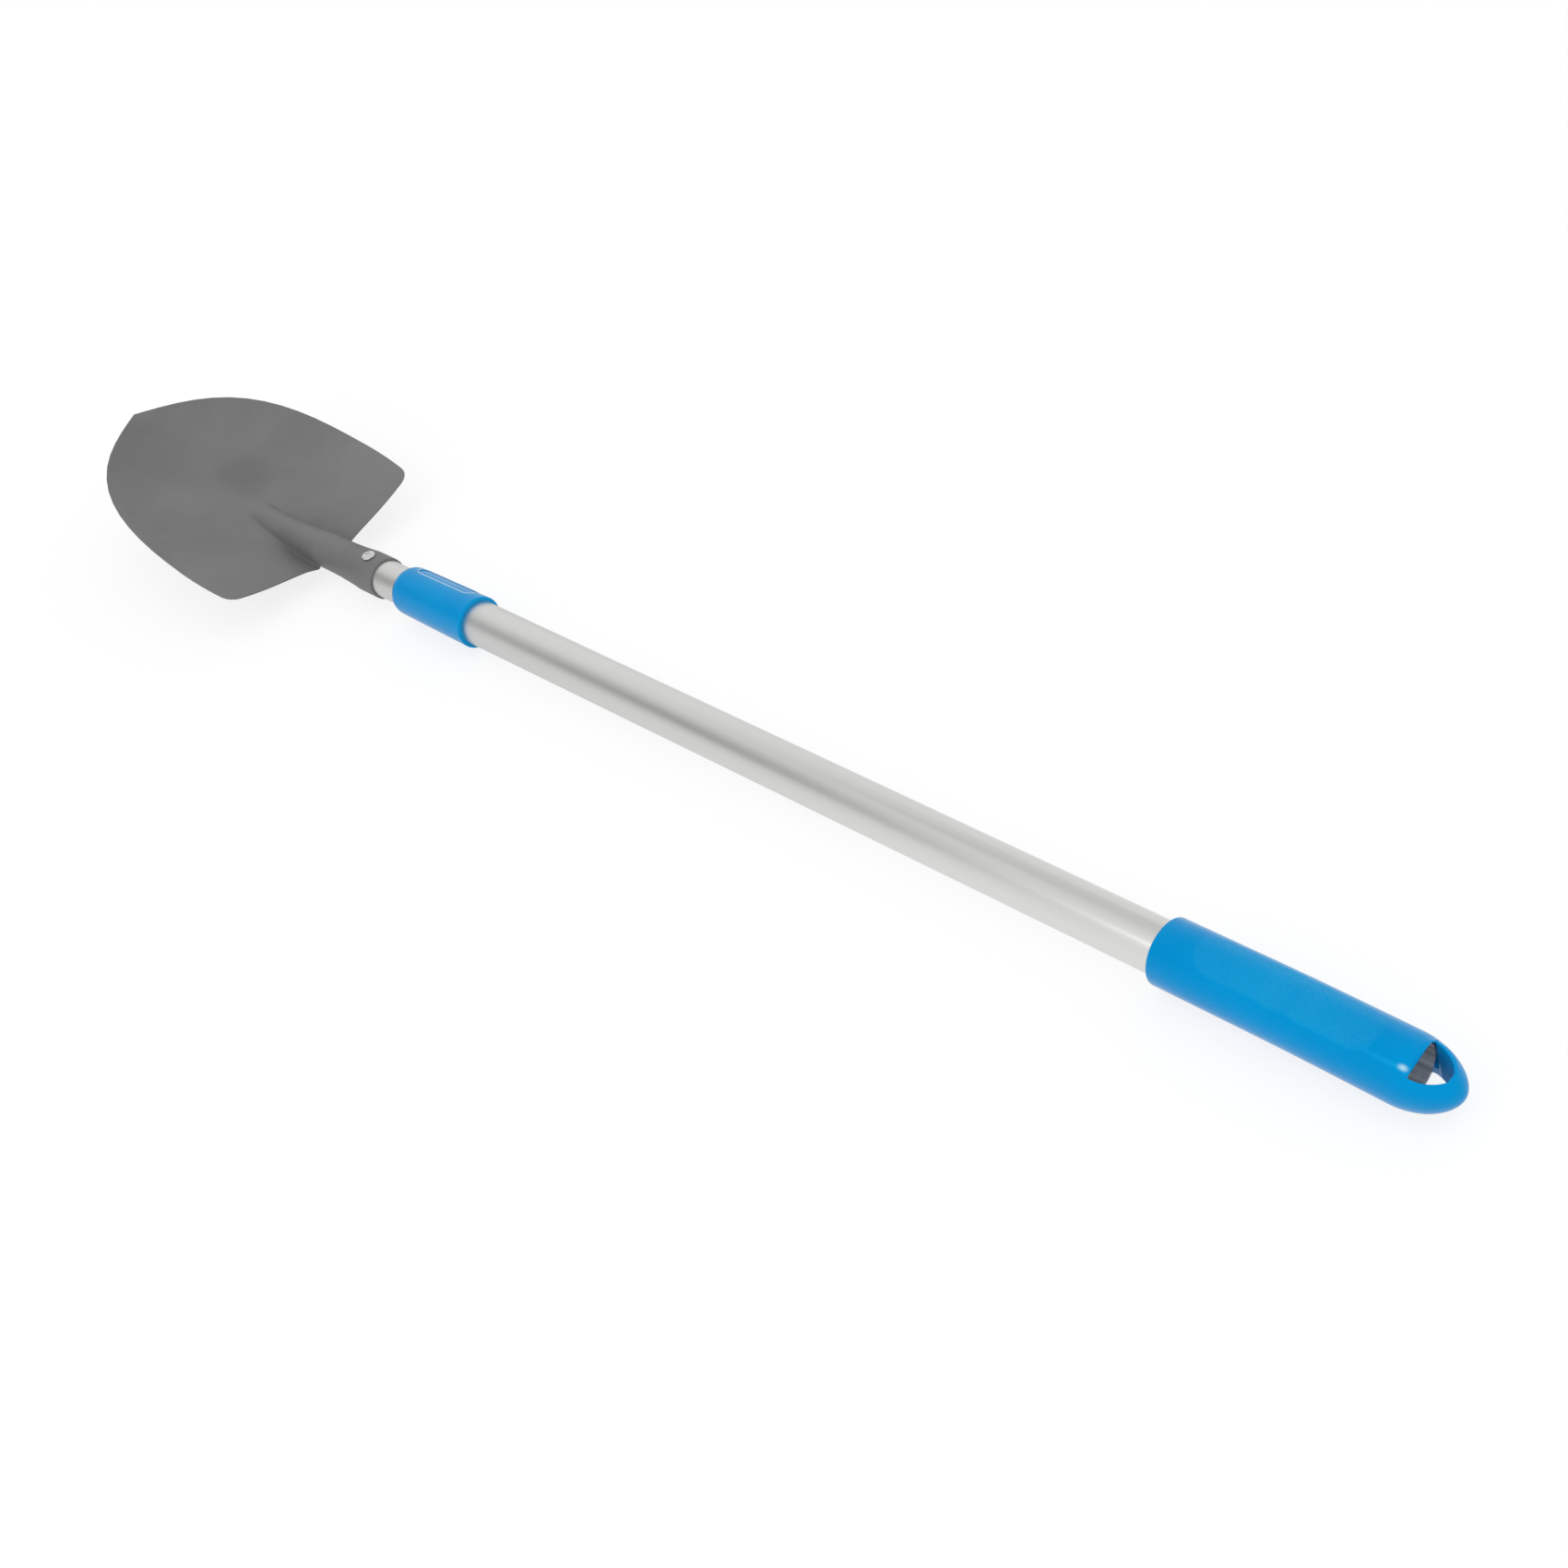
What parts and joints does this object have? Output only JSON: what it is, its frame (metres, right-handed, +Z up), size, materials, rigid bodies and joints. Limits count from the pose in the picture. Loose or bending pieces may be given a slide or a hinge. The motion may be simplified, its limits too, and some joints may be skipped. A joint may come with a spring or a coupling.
{
  "type": "telescopic trowel",
  "caption": "Garden trowel with a broad dished blade, rolled socket, twist-lock telescopic tube and a round grip with a hanging hole.",
  "frame": {"origin": "middle of the tool's length at rest, on the floor it lies on, under the axis of the pole", "axes": "+X runs along the pole from the blade to the grip, +Z is up, on the side that the blade is dished towards, and Y is across the blade"},
  "size_m": [0.9435, 0.1426, 0.0612],
  "materials": {
    "painted_steel": "smooth satin grey paint",
    "aluminium_tube": "satin drawn tube",
    "blue_plastic": "moulded satin plastic, with a fine knurl on the grip",
    "white_nylon": "natural moulded nylon",
    "plated_steel": "bright plated"
  },
  "bodies": {
    "handle": {"outer_tube": "aluminium_tube", "collar": "blue_plastic", "grip": "blue_plastic"},
    "guide": {"guide_ring": "white_nylon"},
    "inner_pole": {"inner_tube": "aluminium_tube", "trowel_head": "painted_steel", "rivet_body": "aluminium_tube", "rivet_mandrel": "plated_steel", "cam_plug": "white_nylon", "plug_pin": "plated_steel", "end_washer": "plated_steel", "end_screw": "plated_steel"},
    "lock_ring": {"cam_ring": "white_nylon"}
  },
  "joints": [
    {"name": "head_turn", "type": "hinge", "parent": "handle", "child": "guide", "pos_m": [-0.1932, 0, 0.01765], "axis": [1, 0, 0], "continuous": true},
    {"name": "telescope", "type": "slide", "parent": "guide", "child": "inner_pole", "axis": [-1, 0, 0], "range_m": [0, 0.4]},
    {"name": "lock_twist", "type": "hinge", "parent": "inner_pole", "child": "lock_ring", "pos_m": [0.31535, 0, 0.01865], "axis": [1, 0, 0], "range_deg": [0, 15]}
  ]
}
